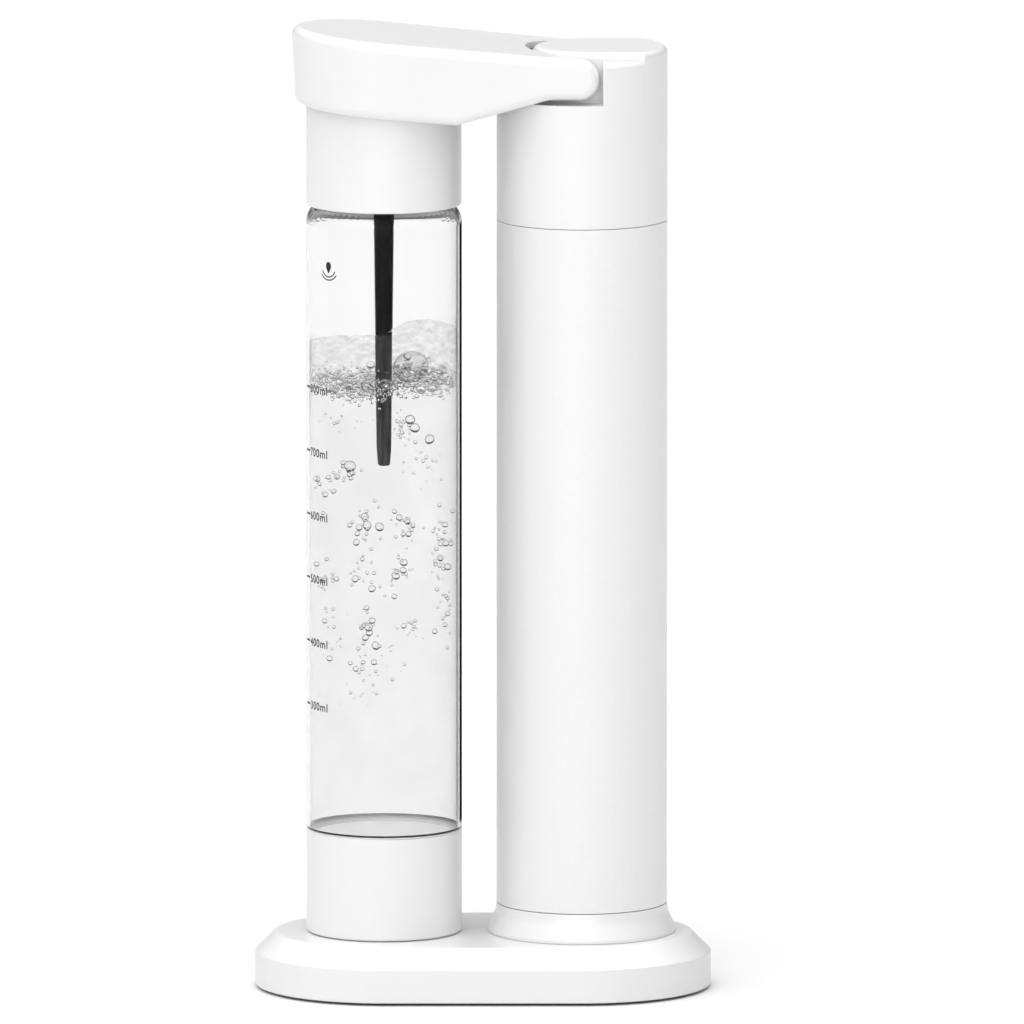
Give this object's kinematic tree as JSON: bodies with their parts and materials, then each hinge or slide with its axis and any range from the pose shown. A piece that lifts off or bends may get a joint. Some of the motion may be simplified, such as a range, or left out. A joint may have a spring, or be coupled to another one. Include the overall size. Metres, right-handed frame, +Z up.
{
  "type": "soda carbonator",
  "caption": "Slim countertop soda carbonator: stadium base, round gas column, hinged head with a press lever and a clear twist-in bottle.",
  "frame": {"origin": "on the floor under the feet, midway between the bottle's axis and the column's axis", "axes": "+Z up; +X from the bottle's axis to the column's axis; Y across the machine"},
  "size_m": [0.203, 0.115, 0.4318],
  "materials": {
    "white_plastic": "satin white, very fine texture",
    "grey_plastic": "satin grey",
    "black_plastic": "glossy black",
    "clear_plastic": "clear",
    "rubber": "matt",
    "steel": "bright zinc",
    "ballast": "rough cast",
    "brass": "machined",
    "aluminium": "painted satin"
  },
  "bodies": {
    "root": {"base_plate": "white_plastic", "bottom_cover": "grey_plastic", "base_weight": "ballast", "rubber_feet": "rubber", "base_screws": "steel", "bottle_mat": "rubber", "column_foot": "white_plastic", "column_sleeve": "white_plastic", "column_head": "white_plastic", "head_cap": "white_plastic", "tie_rods": "steel", "tie_rod_nuts": "steel", "cylinder_guide": "grey_plastic", "valve_block": "brass", "rocker_pin": "steel", "cylinder_socket": "brass", "valve_seal": "rubber", "valve_posts": "steel", "deck_screws": "steel", "feed_tube": "steel", "pin_manifold": "brass", "hinge_bracket": "steel", "hinge_pin": "steel"},
    "door": {"cylinder_door": "grey_plastic", "door_cushion": "rubber"},
    "cylinder": {"gas_cylinder": "aluminium", "cylinder_valve": "brass"},
    "rocker": {"valve_rocker": "steel"},
    "plunger": {"valve_plunger": "brass"},
    "arm": {"arm_bracket": "steel", "arm_bushes": "grey_plastic", "arm_pads": "rubber", "collar_shell": "white_plastic", "carbonating_head": "grey_plastic", "bottle_seal": "rubber", "nozzle_wand": "black_plastic", "wand_nut": "brass", "gas_fitting": "brass", "gas_tube": "steel", "swivel_block": "brass", "relief_valve": "brass", "head_screws": "steel"},
    "lever": {"lever_shell": "white_plastic", "lever_frame": "grey_plastic", "lever_bushes": "grey_plastic"},
    "push": {"push_pin": "steel", "push_spring": "steel"},
    "bottle": {"bottle_body": "clear_plastic", "bottle_cup": "white_plastic", "neck_ring": "grey_plastic"}
  },
  "joints": [
    {"name": "head_lift", "type": "hinge", "parent": "root", "child": "arm", "pos_m": [0.0425, 0, 0.4114], "axis": [0, 1, 0], "range_deg": [0, 30]},
    {"name": "lever_press", "type": "hinge", "parent": "arm", "child": "lever", "pos_m": [0.0425, 0, 0.4114], "axis": [0, 1, 0], "range_deg": [-5, 0], "stiffness_Nm_per_rad": 1, "springref_deg": 17.19},
    {"name": "push_stroke", "type": "slide", "parent": "arm", "child": "push", "axis": [0, 0, 1], "range_m": [-0.0025, 0], "deforming": ["push_spring"]},
    {"name": "bottle_twist", "type": "hinge", "parent": "arm", "child": "bottle", "pos_m": [-0.044, 0, 0.2], "axis": [0, 0, 1], "range_deg": [0, 60]},
    {"name": "rocker_tilt", "type": "hinge", "parent": "root", "child": "rocker", "pos_m": [0.058, 0, 0.3883], "axis": [0, 1, 0], "range_deg": [-3.3, 0]},
    {"name": "valve_stroke", "type": "slide", "parent": "root", "child": "plunger", "axis": [0, 0, 1], "range_m": [-0.0008, 0]},
    {"name": "cylinder_unscrew", "type": "hinge", "parent": "root", "child": "cylinder", "pos_m": [0.044, 0, 0.2], "axis": [0, 0, 1], "range_deg": [0, 1080]},
    {"name": "door_twist", "type": "hinge", "parent": "root", "child": "door", "pos_m": [0.044, 0, 0.003], "axis": [0, 0, 1], "range_deg": [0, 45]}
  ],
  "couplings": [
    {"joint": "push_stroke", "follows": "lever_press", "m_per_rad": 0.0285},
    {"joint": "rocker_tilt", "follows": "lever_press", "ratio": 0.648},
    {"joint": "valve_stroke", "follows": "lever_press", "m_per_rad": 0.00907}
  ]
}
